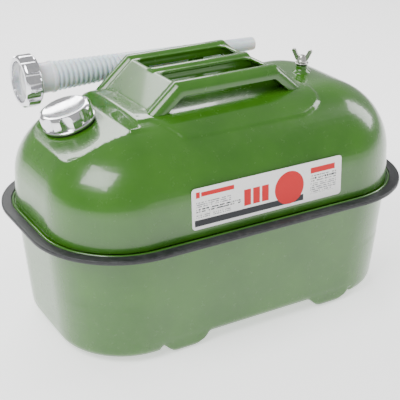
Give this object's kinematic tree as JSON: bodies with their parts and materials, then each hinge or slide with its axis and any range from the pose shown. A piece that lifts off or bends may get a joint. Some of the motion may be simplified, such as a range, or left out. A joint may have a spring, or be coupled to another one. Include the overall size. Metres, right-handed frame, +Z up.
{
  "type": "lying fuel can",
  "caption": "Pressed steel fuel can lying on ribbed feet, with a bridge handle, lobed screw cap, air valve and a pouring spout stored on clips.",
  "frame": {"origin": "middle of the outline on the floor, under the two foot ribs", "axes": "+X along the length towards the air valve, +Y to the back, +Z up"},
  "size_m": [0.454, 0.273, 0.288],
  "materials": {
    "green_paint": "gloss",
    "black_rubber": "satin",
    "plated_steel": "plated",
    "chrome_plate": "polished",
    "bright_steel": "plated",
    "white_plastic": "satin",
    "white_seal": "matte",
    "printed_label": "gloss"
  },
  "bodies": {
    "can": {"lower_shell": "green_paint", "upper_shell": "green_paint", "seam_trim": "black_rubber", "handle": "green_paint", "filler_neck": "plated_steel", "vent_boss": "green_paint", "spout_clips": "green_paint", "front_label": "printed_label"},
    "cap_gasket": {"filler_gasket": "black_rubber"},
    "cap": {"filler_cap": "chrome_plate", "filler_liner": "plated_steel", "filler_disc": "black_rubber"},
    "vent_seat": {"vent_seal": "black_rubber", "vent_washer": "plated_steel"},
    "wing_bolt": {"vent_bolt": "bright_steel"},
    "spout": {"spout_base": "white_plastic", "spout_bellows": "white_plastic", "spout_gasket": "white_seal"},
    "spout_nose": {"spout_tip": "white_plastic"},
    "ring_nut": {"spout_ring": "chrome_plate"}
  },
  "joints": [
    {"name": "cap_spin", "type": "hinge", "parent": "can", "child": "cap_gasket", "pos_m": [-0.152, 0.026, 0.22853], "axis": [-0.2756, 0, 0.9613], "range_deg": [0, 3240]},
    {"name": "cap_lift", "type": "slide", "parent": "cap_gasket", "child": "cap", "axis": [-0.2756, 0, 0.9613], "range_m": [0, 0.0361]},
    {"name": "vent_spin", "type": "hinge", "parent": "can", "child": "vent_seat", "pos_m": [0.129, 0, 0.258], "axis": [0, 0, 1], "range_deg": [0, 2160]},
    {"name": "vent_lift", "type": "slide", "parent": "vent_seat", "child": "wing_bolt", "axis": [0, 0, 1], "range_m": [0, 0.0061]},
    {"name": "spout_lift", "type": "slide", "parent": "can", "child": "spout", "axis": [0, 0, 1], "range_m": [0, 0.06]},
    {"name": "spout_bend", "type": "hinge", "parent": "spout", "child": "spout_nose", "pos_m": [-0.097, 0.102, 0.2585], "axis": [0, -1, 0], "range_deg": [0, 50], "deforming": ["spout_bellows"]},
    {"name": "ring_spin", "type": "hinge", "parent": "spout", "child": "ring_nut", "pos_m": [-0.1695, 0.102, 0.2585], "axis": [1, 0, 0], "continuous": true}
  ],
  "couplings": [
    {"joint": "cap_lift", "follows": "cap_spin", "m_per_rad": 0.00063662},
    {"joint": "vent_lift", "follows": "vent_spin", "m_per_rad": 0.00015915}
  ]
}
